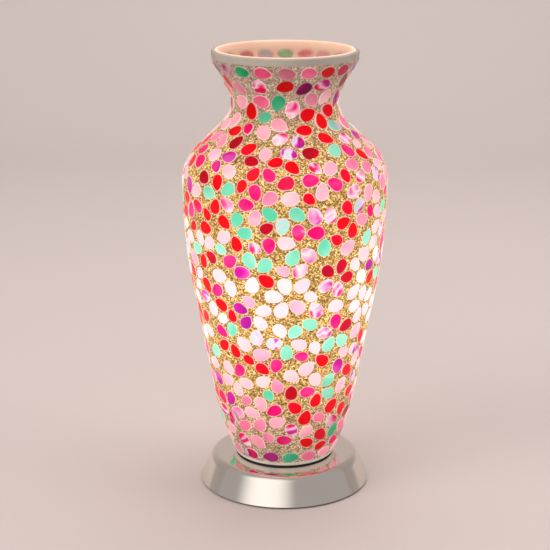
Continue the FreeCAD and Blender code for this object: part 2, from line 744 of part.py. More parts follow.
class Mosaic:
    """Chips laid one by one: flowers first, then single chips in what is left."""

    def __init__(self):
        self.surface = Surface()
        self.dice = random.Random(CHIP_SEED)
        self.chips = {name: [] for name in CHIP_COLOURS}
        self.cells = {}

    def cell(self, point):
        width = 1.2 * CHIP_LENGTH
        return int(point.x // width), int(point.y // width), int(point.z // width)

    def near(self, point):
        i, j, k = self.cell(point)
        for di in (-1, 0, 1):
            for dj in (-1, 0, 1):
                for dk in (-1, 0, 1):
                    yield from self.cells.get((i + di, j + dj, k + dk), ())

    def fits(self, chip):
        return all(chip.clears(other) for other in self.near(chip.centre))

    def colour(self, z, favourite=None):
        if favourite and self.dice.random() < 0.25:
            return favourite
        cream_fits = CREAM_LOW_Z < z < CREAM_HIGH_Z
        names = [name for name in CHIP_COLOURS if cream_fits or name != "chips_cream"]
        return self.dice.choices(names, [CHIP_COLOURS[name] for name in names])[0]

    def lay(self, chip, colour):
        self.cells.setdefault(self.cell(chip.centre), []).append(chip)
        self.chips[colour].append(chip)

    def row(self, z, length):
        """A level row of chips lying along the edge."""
        radius = self.surface.points[self.surface.index(z)].x
        count = int(2 * math.pi * radius / length)
        for number in range(count):
            angle = 2 * math.pi * (number + self.dice.uniform(-0.06, 0.06)) / count
            heading = self.dice.choice((0, math.pi)) + self.dice.uniform(-0.22, 0.22)
            chip = Chip(self.surface, z, angle, heading, self.dice.uniform(0.94, 1.0))
            if self.fits(chip):
                self.lay(chip, self.colour(z))

    def flower(self, z, angle):
        radius = self.surface.points[self.surface.index(z)].x
        petals = self.dice.choice((5, 5, 5, 4))
        turn = self.dice.uniform(0, 2 * math.pi)
        size = self.dice.uniform(0.9, 1.0)
        reach = FLOWER_EYE + CHIP_LENGTH / 2 * size
        ring_of_chips = []
        for petal in range(petals):
            heading = turn + 2 * math.pi * petal / 5 + self.dice.uniform(-0.02, 0.02)
            up_wall = self.surface.along(self.surface.index(z), reach * math.sin(heading))
            side_angle = angle + reach * math.cos(heading) / (0.5 * (radius + up_wall.x))
            ring_of_chips.append(Chip(self.surface, up_wall.z, side_angle, heading, size))
        apart = all(a.clears(b) for a, b in combinations(ring_of_chips, 2))
        if apart and all(self.fits(chip) for chip in ring_of_chips):
            favourite = self.colour(z)
            for chip in ring_of_chips:
                self.lay(chip, self.colour(chip.height, favourite))
            return True
        return False

    def scatter_flowers(self, z_low, z_high):
        eyes = []
        for _ in range(9000):
            z = self.dice.uniform(z_low, z_high)
            angle = self.dice.uniform(0, 2 * math.pi)
            eye = self.surface.frame(z, angle)[0]
            if all((eye - other).Length > FLOWER_SPACING for other in eyes) and self.flower(z, angle):
                eyes.append(eye)

    def fill(self, z_low, z_high, tries, sizes):
        """Single chips, each slid away from one already laid until it fits beside it."""
        laid = [chip for chips in self.chips.values() for chip in chips]
        for _ in range(tries):
            beside = self.dice.choice(laid)
            towards = self.dice.uniform(0, 2 * math.pi)
            heading = self.dice.uniform(0, 2 * math.pi)
            size = self.dice.uniform(*sizes)
            radius = self.surface.points[self.surface.index(beside.height)].x
            for reach in FILL_STEPS:
                index = self.surface.index(beside.height)
                z = self.surface.along(index, reach * math.sin(towards)).z
                angle = beside.angle + reach * math.cos(towards) / radius
                if not z_low < z < z_high:
                    break
                chip = Chip(self.surface, z, angle, heading, size)
                if self.fits(chip):
                    self.lay(chip, self.colour(z))
                    laid.append(chip)
                    break

    def build(self):
        self.row(FOOT_BAND_Z + 5.4, 15.9)
        self.row(RIM_BAND_Z - 5.6, 16.9)
        self.scatter_flowers(FOOT_BAND_Z + 18, RIM_BAND_Z - 25)
        self.fill(FOOT_BAND_Z + 8, RIM_BAND_Z - 8, 45000, (0.94, 1.06))
        self.fill(FOOT_BAND_Z + 7, RIM_BAND_Z - 7, 60000, (0.78, 0.9))
        return self.chips


PIECES = {
    "foot_ring": foot_ring,
    "base_shell": base_shell,
    "bottom_plate": bottom_plate,
    "plate_screws": plate_screws,
    "ballast_disc": ballast_disc,
    "clamp_washer": clamp_washer,
    "stem_nut": stem_nut,
    "threaded_stem": threaded_stem,
    "seat_gasket": seat_gasket,
    "gallery_ring": gallery_ring,
    "gallery_nut": gallery_nut,
    "stem_cover": stem_cover,
    "lampholder_cap": lampholder_cap,
    "lampholder_barrel": lampholder_barrel,
    "lampholder_insert": lampholder_insert,
    "lampholder_ring": lampholder_ring,
    "holder_terminals": holder_terminals,
    "screw_shell": screw_shell,
    "centre_contact": centre_contact,
    "bulb_tip_contact": bulb_tip_contact,
    "bulb_cap_insulator": bulb_cap_insulator,
    "bulb_cap": bulb_cap,
    "bulb_envelope": bulb_envelope,
    "bulb_stem": bulb_stem,
    "bulb_driver": bulb_driver,
    "led_filaments": led_filaments,
    "cord_grommet": cord_grommet,
    "cord_grip": cord_grip,
    "cord_grip_screws": cord_grip_screws,
    "terminal_block": terminal_block,
    "terminal_sleeves": terminal_sleeves,
    "terminal_screws": terminal_screws,
    "live_lead": live_lead,
    "neutral_lead": neutral_lead,
    "earth_lead": earth_lead,
    "earth_tag": earth_tag,
    "earth_screw": earth_screw,
    "glass_vase": glass_vase,
    "foot_band": foot_band,
    "glitter_grout": glitter_grout,
    "rim_band": rim_band,
}

os.makedirs("parts", exist_ok=True)
for name, make in PIECES.items():
    make().exportStep(f"parts/{name}.step")

mosaic = Mosaic().build()
for name, chips in mosaic.items():
    Part.makeCompound([chip.solid() for chip in chips]).exportStep(f"parts/{name}.step")
print("chips laid:", {name: len(chips) for name, chips in mosaic.items()})
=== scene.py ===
"""Mosaic glass table lamp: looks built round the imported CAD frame, in metres."""

import math
import random

import bmesh
import bpy
import numpy as np
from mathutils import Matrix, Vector, noise


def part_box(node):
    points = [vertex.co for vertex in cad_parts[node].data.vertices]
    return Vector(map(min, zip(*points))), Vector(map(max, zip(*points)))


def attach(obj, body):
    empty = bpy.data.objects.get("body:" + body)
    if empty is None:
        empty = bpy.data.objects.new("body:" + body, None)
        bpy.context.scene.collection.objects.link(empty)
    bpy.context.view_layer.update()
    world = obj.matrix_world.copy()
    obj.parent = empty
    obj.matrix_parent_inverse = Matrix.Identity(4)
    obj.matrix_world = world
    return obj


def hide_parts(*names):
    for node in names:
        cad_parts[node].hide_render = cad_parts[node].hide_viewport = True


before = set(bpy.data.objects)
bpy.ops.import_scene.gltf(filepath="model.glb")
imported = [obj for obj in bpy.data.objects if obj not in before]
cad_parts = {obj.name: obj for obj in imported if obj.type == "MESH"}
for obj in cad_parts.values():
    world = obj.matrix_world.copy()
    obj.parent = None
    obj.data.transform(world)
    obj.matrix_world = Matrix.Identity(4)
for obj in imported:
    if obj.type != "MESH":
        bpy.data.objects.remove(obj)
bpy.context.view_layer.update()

MM = 0.001
TURN = 2 * math.pi

# The shade's outline: (radius, height, rounding radius) in millimetres, and depths below it in millimetres
VASE_CORNERS = [
    (36.1, 16.0),
    (52.3, 52.2, 236.0),
    (79.4, 198.9, 414.0),
    (81.3, 265.5, 37.9),
    (36.1, 309.1, 19.6),
    (56.9, 344.5, 15.1),
    (58.0, 365.0),
]
SHADE_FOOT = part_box("glass_vase")[0].z / MM
SHADE_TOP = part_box("glass_vase")[1].z / MM
FOOT_BAND_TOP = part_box("foot_band")[1].z / MM
RIM_BAND_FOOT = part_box("rim_band")[0].z / MM
GROUT_DEPTH = 0.45
GLASS_DEPTH = 2.8
GLASS_WALL = 2.6

# The base's outline
BASE_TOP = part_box("base_shell")[1].z / MM
BASE_SHEET = 1.2
BASE_CORNERS = [(68.5, 1.7), (58.8, BASE_TOP, 6.75), (5.4, BASE_TOP)]

# Chips: points round each outline, and (inset, depth) of each ring of its eased edge in millimetres
CHIP_POINTS = 32
CHIP_LAYERS = [(0.0, 0.75), (0.05, 0.32), (0.25, 0.12), (0.65, 0.02), (1.4, 0.0), (2.8, 0.0)]
EDGE_WIDTH = 1.3
CHIP_BACK_SHRINK = 0.86
CHIP_HALF_LENGTH = 0.0075

# The studio's sky: its brighter side, and how (start, end, dim, bright) it falls off from there
SKY_BRIGHT_SIDE = (-0.42, -0.75, 0.52)
SKY_FALLOFF = (0.74, 1.0, 0.42, 1.3)


# Outlines of revolution

def unit(vector):
    return vector / np.linalg.norm(vector)


def inset(corners, depth):
    """The outline moved towards the lamp's axis by depth."""
    points = np.array([corner[:2] for corner in corners], float)
    sides = [unit(b - a) for a, b in zip(points, points[1:])]
    inward = [np.array((-side[1], side[0])) for side in sides]
    moved = [tuple(points[0] + inward[0] * depth)]
    for index in range(1, len(corners) - 1):
        n1 = inward[index - 1]
        n2 = inward[index]
        place = points[index] + (n1 + n2) * depth / (1 + n1 @ n2)
        before = sides[index - 1]
        after = sides[index]
        bends_in = before[0] * after[1] > before[1] * after[0]
        radius = corners[index][2] + (-depth if bends_in else depth)
        moved.append((place[0], place[1], radius))
    moved.append(tuple(points[-1] + inward[-1] * depth))
    return moved


def rounded(corners, step=1.5):
    """Points along lines joined by tangent arcs, about a step apart."""
    points = [np.array(corner[:2], float) for corner in corners]
    path = []
    start = points[0]
    for index in range(1, len(corners) - 1):
        corner = points[index]
        u = unit(corner - points[index - 1])
        v = unit(points[index + 1] - corner)
        turn = math.acos(max(-1.0, min(1.0, float(u @ v))))
        radius = corners[index][2]
        reach = radius * math.tan(turn / 2)
        arc_start = corner - u * reach
        path += stretch(start, arc_start, step)
        side = 1 if u[0] * v[1] > u[1] * v[0] else -1
        centre = arc_start + radius * side * np.array((-u[1], u[0]))
        count = max(4, int(radius * turn / step))
        for number in range(count):
            angle = side * turn * number / count
            arm = arc_start - centre
            c, s = math.cos(angle), math.sin(angle)
            path.append(centre + np.array((c * arm[0] - s * arm[1], s * arm[0] + c * arm[1])))
        start = corner + v * reach
    path += stretch(start, points[-1], step)
    path.append(points[-1])
    return np.array(path)


def stretch(start, end, step):
    count = max(1, int(np.linalg.norm(end - start) / step))
    return [start + (end - start) * number / count for number in range(count)]


def clipped(path, low, high):
    """The part of an outline between two heights, cut exactly at both."""
    heights = path[:, 1]
    ends = [(np.interp(z, heights, path[:, 0]), z) for z in (low, high)]
    inside = path[(heights > low + 0.05) & (heights < high - 0.05)]
    return np.vstack([ends[:1], inside, ends[1:]])


def shade_line(depth, low, high, step=1.5):
    return clipped(rounded(inset(VASE_CORNERS, depth), step), low, high)


def bevelled(points, size, steps=3):
    """A closed (radius, height) polygon with its corners rounded by size."""
    points = [np.array(point, float) for point in points]
    result = []
    for before, corner, after in zip(points[-1:] + points[:-1], points, points[1:] + points[:1]):
        if corner[0] < 1e-6:
            result.append(corner)
            continue
        reach = min(size, 0.45 * np.linalg.norm(before - corner), 0.45 * np.linalg.norm(after - corner))
        a = corner + unit(before - corner) * reach
        b = corner + unit(after - corner) * reach
        for number in range(steps + 1):
            t = number / steps
            result.append((1 - t) ** 2 * a + 2 * t * (1 - t) * corner + t ** 2 * b)
    return np.array(result)


# Meshes

def new_object(name, mesh, body, node, material):
    piece = bpy.data.objects.new(name, mesh)
    bpy.context.scene.collection.objects.link(piece)
    mesh.materials.append(material)
    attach(piece, body)
    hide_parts(node)


def smooth(mesh, angle=35):
    mesh.shade_smooth()
    mesh.set_sharp_from_angle(angle=math.radians(angle))


def lathe(name, outline, segments=192):
    """A mesh of revolution from a closed loop of (radius, height) points in millimetres."""
    outline = np.asarray(outline, float) * MM
    rows = len(outline)
    turns = np.arange(segments) * TURN / segments
    places = np.stack([
        np.outer(outline[:, 0], np.cos(turns)),
        np.outer(outline[:, 0], np.sin(turns)),
        np.repeat(outline[:, 1:], segments, axis=1),
    ], axis=-1).reshape(-1, 3)
    faces = []
    for row in range(rows):
        low = row * segments
        high = (row + 1) % rows * segments
        for column in range(segments):
            after = (column + 1) % segments
            faces.append((low + column, low + after, high + after, high + column))
    mesh = bpy.data.meshes.new(name)
    mesh.from_pydata(places.tolist(), [], faces)
    tidy = bmesh.new()
    tidy.from_mesh(mesh)
    bmesh.ops.remove_doubles(tidy, verts=tidy.verts, dist=1e-7)
    bmesh.ops.recalc_face_normals(tidy, faces=tidy.faces)
    tidy.to_mesh(mesh)
    tidy.free()
    smooth(mesh)
    return mesh


# Node materials

class Paint:
    """A node material under construction."""

    def __init__(self, name):
        self.material = bpy.data.materials.new(name)
        self.material.use_nodes = True
        self.tree = self.material.node_tree
        self.shader = self.tree.nodes["Principled BSDF"]
        self.place = self.node("ShaderNodeTexCoord").outputs["Object"]

    def node(self, kind, **settings):
        made = self.tree.nodes.new(kind)
        for key, value in settings.items():
            setattr(made, key, value)
        return made

    def feed(self, socket, value):
        if isinstance(value, bpy.types.NodeSocket):
            self.tree.links.new(value, socket)
        elif isinstance(value, tuple) and len(value) == 3 and socket.type == "RGBA":
            socket.default_value = value + (1.0,)
        else:
            socket.default_value = value

    def set(self, **values):
        for key, value in values.items():
            self.feed(self.shader.inputs[key.replace("_", " ")], value)

    def noise(self, scale, place=None, detail=3.0, distortion=0.0):
        made = self.node("ShaderNodeTexNoise")
        self.feed(made.inputs["Vector"], place or self.place)
        self.feed(made.inputs["Scale"], scale)
        self.feed(made.inputs["Detail"], detail)
        self.feed(made.inputs["Distortion"], distortion)
        return made.outputs["Fac"]

    def cells(self, scale):
        """A random colour for each cell of a close packing."""
        made = self.node("ShaderNodeTexVoronoi")
        self.feed(made.inputs["Vector"], self.place)
        self.feed(made.inputs["Scale"], scale)
        return made.outputs["Color"]

    def ramp(self, factor, stops):
        made = self.node("ShaderNodeValToRGB")
        elements = made.color_ramp.elements
        while len(elements) < len(stops):
            elements.new(0.5)
        for element, (position, colour) in zip(elements, stops):
            element.position = position
            element.color = tuple(colour) + (1.0,)
        self.feed(made.inputs["Fac"], factor)
        return made.outputs["Color"]

    def curve(self, value, stops):
        """A number from a number, by straight lines between (in, out) stops."""
        low, high = stops[0][0], stops[-1][0]
        greys = [((x - low) / (high - low), (y,) * 3) for x, y in stops]
        share = self.map(value, low, high, 0.0, 1.0)
        return self.ramp(share, greys)

    def map(self, value, low, high, out_low, out_high):
        made = self.node("ShaderNodeMapRange")
        for socket, number in zip(made.inputs[:5], (value, low, high, out_low, out_high)):
            self.feed(socket, number)
        return made.outputs["Result"]

    def math(self, operation, a, b=0.0):
        made = self.node("ShaderNodeMath", operation=operation)
        self.feed(made.inputs[0], a)
        self.feed(made.inputs[1], b)
        return made.outputs[0]

    def mix(self, factor, a, b, blend="MIX"):
        made = self.node("ShaderNodeMix", data_type="RGBA", blend_type=blend)
        self.feed(made.inputs["Factor"], factor)
        self.feed(made.inputs[6], a)
        self.feed(made.inputs[7], b)
        return made.outputs[2]

    def gamma(self, colour, power):
        made = self.node("ShaderNodeGamma")
        self.feed(made.inputs["Color"], colour)
        self.feed(made.inputs["Gamma"], power)
        return made.outputs["Color"]

    def attribute(self, name, output="Fac"):
        return self.node("ShaderNodeAttribute", attribute_name=name).outputs[output]

    def height(self):
        split = self.node("ShaderNodeSeparateXYZ")
        self.feed(split.inputs[0], self.place)
        return split.outputs["Z"]

    def part(self, colour, channel):
        split = self.node("ShaderNodeSeparateColor")
        self.feed(split.inputs[0], colour)
        return split.outputs[channel]

    def bump(self, height, strength, distance):
        made = self.node("ShaderNodeBump")
        self.feed(made.inputs["Height"], height)
        self.feed(made.inputs["Strength"], strength)
        self.feed(made.inputs["Distance"], distance)
        return made.outputs["Normal"]


def glow(paint):
    """The bulb's light painted on the shade: how brightly it lights it, from 0 to about 1, by height."""
    wander = paint.noise(22.0, detail=1.0)
    height = paint.math("ADD", paint.height(), paint.map(wander, 0.0, 1.0, -0.014, 0.014))
    return paint.curve(height, [
        (0.02, 0.24), (0.05, 0.34), (0.08, 0.50), (0.11, 0.77), (0.145, 0.97), (0.175, 1.0), (0.215, 0.82),
        (0.255, 0.64), (0.285, 0.52), (0.305, 0.40), (0.325, 0.22), (0.353, 0.08),
    ])


def chip_paint(name, stops, depths, spread, marbled=False):
    """Stained glass lit from behind, the bulb's light painted on as a glow: deeper where it is dim, paler
    where it is bright.
    """
    paint = Paint(name)
    own_place = paint.attribute("chip_place", "Vector")
    dice = paint.attribute("chip_dice")
    if marbled:
        cloud = paint.noise(48.0, own_place, 1.6, 0.9)
        shade = paint.map(cloud, 0.34, 0.66, 0.0, 1.0)
    else:
        cloud = paint.noise(55.0, own_place, 1.0, 0.4)
        shade = paint.math("ADD", paint.map(cloud, 0.3, 0.7, -0.25, 0.45), paint.math("MULTIPLY", dice, 0.8))
    colour = paint.ramp(shade, stops)
    light = glow(paint)
    depth = paint.curve(light, list(zip((0.1, 0.3, 0.55, 1.0), depths)))
    lit = paint.gamma(colour, paint.math("ADD", depth, paint.map(dice, 0.0, 1.0, -0.08, 0.14)))
    edge = paint.attribute("chip_edge")
    # Pale chip rims: partly clear glue at the edges, partly the bulb's light painted as leaking round them
    border = paint.mix(0.8, lit, (1.0, 0.78, 0.70))
    lit = paint.mix(paint.map(edge, 0.1, 0.62, 0.95, 0.0), lit, border)
    # Painted shade: a dark brown line at each chip's foot, where it meets the grout
    lit = paint.mix(paint.map(edge, -0.7, -0.1, 0.75, 0.0), lit, (0.22, 0.07, 0.05))
    level = paint.curve(light, [(0.1, 0.27), (0.3, 0.62), (0.5, 0.84), (1.0, 1.06)])
    uneven = paint.math("POWER", level, paint.map(dice, 0.0, 1.0, 0.5, spread))
    grain = paint.map(paint.noise(900.0, detail=2.0), 0.0, 1.0, 0.93, 1.06)
    paint.set(Base_Color=paint.mix(1.0, lit, (0.3, 0.3, 0.3), "MULTIPLY"), Roughness=0.2,
              Specular_IOR_Level=0.16, Emission_Color=lit,
              Emission_Strength=paint.math("MULTIPLY", uneven, grain),
              Normal=paint.bump(paint.noise(140.0, detail=2.0), 0.25, 0.0006))
    return paint.material


def grout_paint():
    """Gold glitter in clear binder: grains about a millimetre wide, each with its own tone and tilt; the
    bulb's light is painted on as a glow.
    """
    paint = Paint("gold_glitter_grout")
    grain = paint.cells(980.0)
    tone = paint.part(grain, 0)
    light = glow(paint)
    # Painted light and shade: gold is the grout where the painted glow is bright, dim is the same grout
    # painted in shade
    gold = paint.ramp(tone, [
        (0.0, (0.15, 0.075, 0.02)), (0.24, (0.31, 0.165, 0.045)), (0.55, (0.56, 0.31, 0.095)),
        (0.80, (0.92, 0.53, 0.16)), (0.94, (1.0, 0.80, 0.36)),
    ])
    dim = paint.ramp(tone, [
        (0.0, (0.24, 0.15, 0.11)), (0.4, (0.44, 0.30, 0.22)), (0.8, (0.64, 0.46, 0.33)),
        (0.96, (0.88, 0.72, 0.52)),
    ])
    colour = paint.mix(paint.curve(light, [(0.2, 0.0), (0.6, 1.0)]), dim, gold)
    # The inner face is painted with the bulb's warm peach glow
    inside = paint.attribute("inside")
    colour = paint.mix(paint.math("MULTIPLY", inside, 0.65), colour, (0.98, 0.52, 0.40))
    flakes = paint.part(grain, 1)
    patch = paint.map(paint.noise(60.0, detail=2.0), 0.3, 0.7, 0.84, 1.12)
    level = paint.curve(light, [(0.1, 0.40), (0.3, 0.58), (0.5, 0.78), (1.0, 1.0)])
    strength = paint.math("ADD", paint.math("MULTIPLY", level, patch), paint.math("MULTIPLY", inside, 0.2))
    paint.set(Base_Color=paint.mix(1.0, colour, (0.4, 0.4, 0.4), "MULTIPLY"), Metallic=0.15, Roughness=0.42,
              Specular_IOR_Level=0.25,
              Emission_Color=colour, Emission_Strength=strength, Normal=paint.bump(flakes, 0.8, 0.0004))
    return paint.material


def plain_grout_paint(name, warmth, lit):
    """Plain tile grout, with the bulb's light shining through a little painted on as a glow."""
    paint = Paint(name)
    fine = paint.noise(1400.0, detail=4.0)
    broad = paint.noise(45.0, detail=3.0)
    stone = paint.ramp(broad, [(0.3, (0.36, 0.325, 0.29)), (0.7, (0.47, 0.43, 0.385))])
    colour = paint.mix(paint.map(fine, 0.3, 0.7, 0.0, 0.35), stone, (0.60, 0.54, 0.48))
    rough = paint.map(fine, 0.0, 1.0, 0.62, 0.9)
    strength = paint.map(broad, 0.3, 0.7, 0.8 * lit, 1.2 * lit)
    paint.set(Base_Color=colour, Roughness=rough, Emission_Color=warmth, Emission_Strength=strength,
              Normal=paint.bump(fine, 0.5, 0.0003))
    return paint.material


def vase_glass_paint():
    """Frosted glass, seen from inside as a painted warm glow with the chips behind it."""
    paint = Paint("frosted_vase_glass")
    cloud = paint.noise(35.0, detail=3.0)
    tint = paint.ramp(cloud, [(0.3, (1.0, 0.62, 0.44)), (0.7, (1.0, 0.70, 0.52))])
    height = paint.height()
    # Painted glow: faint on the wall and brightest on the top lip
    crown = paint.curve(height, [(0.02, 0.05), (0.30, 0.12), (0.345, 0.34), (0.3517, 0.58), (0.3527, 0.84)])
    clear = paint.curve(height, [(0.02, 0.25), (0.343, 0.22), (0.3485, 0.92), (0.353, 1.0)])
    paint.set(Base_Color=paint.mix(1.0, tint, (0.4, 0.4, 0.4), "MULTIPLY"), Roughness=0.3,
              Specular_IOR_Level=0.2, Emission_Color=tint, Emission_Strength=crown, Alpha=clear,
              Normal=paint.bump(paint.noise(260.0, detail=2.0), 0.2, 0.0004))
    return paint.material


def chrome_paint(name="polished_base", tint=(0.84, 0.80, 0.75)):
    """Spun and polished plate: a faint ripple, a little haze and fine wipe marks."""
    paint = Paint(name)
    haze = paint.noise(40.0, detail=4.0)
    smears = paint.noise(240.0, detail=3.0, distortion=1.5)
    colour = paint.mix(paint.map(haze, 0.3, 0.7, 0.0, 0.25), tint, tuple(0.9 * c for c in tint))
    rough = paint.math("ADD", paint.map(haze, 0.3, 0.7, 0.10, 0.15), paint.map(smears, 0.55, 0.8, 0.0, 0.04))
    paint.set(Base_Color=colour, Metallic=1.0, Roughness=rough,
              Normal=paint.bump(paint.noise(90.0, detail=1.0), 0.05, 0.0004))
    return paint.material


def metal_paint(name, tint, roughness, metallic=1.0):
    """Plain or plated metal with fine machining marks and dull patches."""
    paint = Paint(name)
    patches = paint.noise(160.0, detail=4.0)
    marks = paint.noise(2600.0, detail=2.0)
    dark = tuple(0.7 * c for c in tint)
    colour = paint.mix(paint.map(patches, 0.35, 0.75, 0.0, 0.7), tint, dark)
    rough = paint.map(patches, 0.3, 0.7, roughness, roughness + 0.15)
    paint.set(Base_Color=colour, Metallic=metallic, Roughness=rough, Normal=paint.bump(marks, 0.25, 0.0001))
    return paint.material


def iron_paint():
    paint = Paint("cast_iron_ballast")
    sand = paint.noise(700.0, detail=5.0)
    rust = paint.noise(60.0, detail=4.0)
    colour = paint.mix(paint.map(rust, 0.55, 0.8, 0.0, 0.6), (0.07, 0.07, 0.075), (0.16, 0.07, 0.035))
    paint.set(Base_Color=colour, Metallic=0.6, Roughness=paint.map(sand, 0.3, 0.7, 0.5, 0.8),
              Normal=paint.bump(sand, 0.9, 0.0005))
    return paint.material


def plastic_paint(name, tint, roughness, sparkle=0.1):
    """Moulded plastic or insulation: slight mottling and an orange-peel skin."""
    paint = Paint(name)
    skin = paint.noise(1500.0, detail=3.0)
    mottle = paint.noise(120.0, detail=3.0)
    light = tuple(min(1.0, c + sparkle * (0.15 + c)) for c in tint)
    paint.set(Base_Color=paint.mix(paint.map(mottle, 0.3, 0.7, 0.0, 1.0), tint, light),
              Roughness=paint.map(mottle, 0.3, 0.7, roughness, roughness + 0.12),
              Normal=paint.bump(skin, 0.25, 0.0002))
    return paint.material


def striped_paint(name, tint, stripe):
    """Green wire insulation with a yellow stripe."""
    paint = Paint(name)
    wave = paint.node("ShaderNodeTexWave", wave_type="BANDS", bands_direction="DIAGONAL")
    paint.feed(wave.inputs["Vector"], paint.place)
    paint.feed(wave.inputs["Scale"], 190.0)
    band = paint.ramp(wave.outputs["Fac"], [(0.52, tint), (0.56, stripe)])
    paint.set(Base_Color=band, Roughness=0.45, Normal=paint.bump(paint.noise(1500.0), 0.2, 0.0002))
    return paint.material


def opal_paint():
    """The lit bulb: brightest in the middle of the globe, warmer towards its neck."""
    paint = Paint("lit_opal_glass")
    height = paint.height()
    share = paint.map(height, 0.124, 0.16, 0.0, 1.0)
    tint = paint.ramp(share, [(0.0, (1.0, 0.62, 0.34)), (1.0, (1.0, 0.86, 0.68))])
    cloud = paint.map(paint.noise(70.0, detail=2.0), 0.3, 0.7, 0.9, 1.1)
    strength = paint.math("MULTIPLY", paint.curve(height, [(0.122, 1.5), (0.14, 6.0), (0.178, 7.0)]), cloud)
    paint.set(Base_Color=tint, Roughness=0.25, Emission_Color=tint, Emission_Strength=strength)
    return paint.material


def lit_rod_paint():
    paint = Paint("lit_led_rods")
    grain = paint.map(paint.noise(800.0), 0.3, 0.7, 7.0, 10.0)
    paint.set(Base_Color=(1.0, 0.8, 0.4), Roughness=0.5, Emission_Color=(1.0, 0.75, 0.4),
              Emission_Strength=grain)
    return paint.material


def clear_glass_paint():
    paint = Paint("clear_stem_glass")
    rough = paint.map(paint.noise(300.0), 0.3, 0.7, 0.03, 0.12)
    paint.set(Base_Color=(0.92, 0.95, 0.95), Roughness=rough, Alpha=0.35)
    return paint.material


# Shade

def islands(mesh):
    """The corner points and biggest face's normal of each separate solid in a CAD mesh."""
    work = bmesh.new()
    work.from_mesh(mesh)
    bmesh.ops.remove_doubles(work, verts=work.verts, dist=2e-6)
    seen = set()
    for start in work.verts:
        if start in seen:
            continue
        seen.add(start)
        stack = [start]
        corners = []
        faces = set()
        while stack:
            vertex = stack.pop()
            corners.append(vertex.co.copy())
            faces.update(vertex.link_faces)
            for edge in vertex.link_edges:
                other = edge.other_vert(vertex)
                if other not in seen:
                    seen.add(other)
                    stack.append(other)
        biggest = max(faces, key=lambda face: face.calc_area())
        yield np.array(corners), np.array(biggest.normal)
    work.free()


def convex(points):
    """The convex outline of flat points, counterclockwise."""
    ordered = sorted(map(tuple, points))
    outline = []
    for run in (ordered, ordered[::-1]):
        side = []
        for x, y in run:
            while len(side) > 1:
                (ax, ay), (bx, by) = side[-2:]
                if (bx - ax) * (y - ay) - (by - ay) * (x - ax) > 0:
                    break
                side.pop()
            side.append((x, y))
        outline += side[:-1]
    return np.array(outline)


def even_ring(corners, centre, normal):
    """A chip's outer outline as evenly spaced points that start at its tip."""
    tip = corners[np.argmax(np.linalg.norm(corners - centre, axis=1))]
    axis = unit(centre - tip)
    across = np.cross(normal, axis)
    flat = np.stack([(corners - centre) @ axis, (corners - centre) @ across], axis=1)
    loop = convex(flat)[::-1]
    first = np.argmin(loop[:, 0])
    loop = np.roll(loop, -first, axis=0)
    loop = np.vstack([loop, loop[:1]])
    along = np.concatenate([[0], np.cumsum(np.linalg.norm(np.diff(loop, axis=0), axis=1))])
    stops = np.arange(CHIP_POINTS) * along[-1] / CHIP_POINTS
    ring = np.stack([np.interp(stops, along, loop[:, 0]), np.interp(stops, along, loop[:, 1])], axis=1)
    return ring, axis, across


BED_LINE = shade_line(GLASS_DEPTH + 0.04, SHADE_FOOT, SHADE_TOP, 0.5)


def on_bed(points, normal):
    """Points moved inwards along a chip's normal until they lie on the glass."""
    moved = points.copy()
    for _ in range(4):
        radius = np.hypot(moved[:, 0], moved[:, 1])
        gap = radius - np.interp(moved[:, 2] / MM, BED_LINE[:, 1], BED_LINE[:, 0]) * MM
        slope = (moved[:, 0] * normal[0] + moved[:, 1] * normal[1]) / radius
        moved -= np.outer(gap * slope, normal)
    return moved


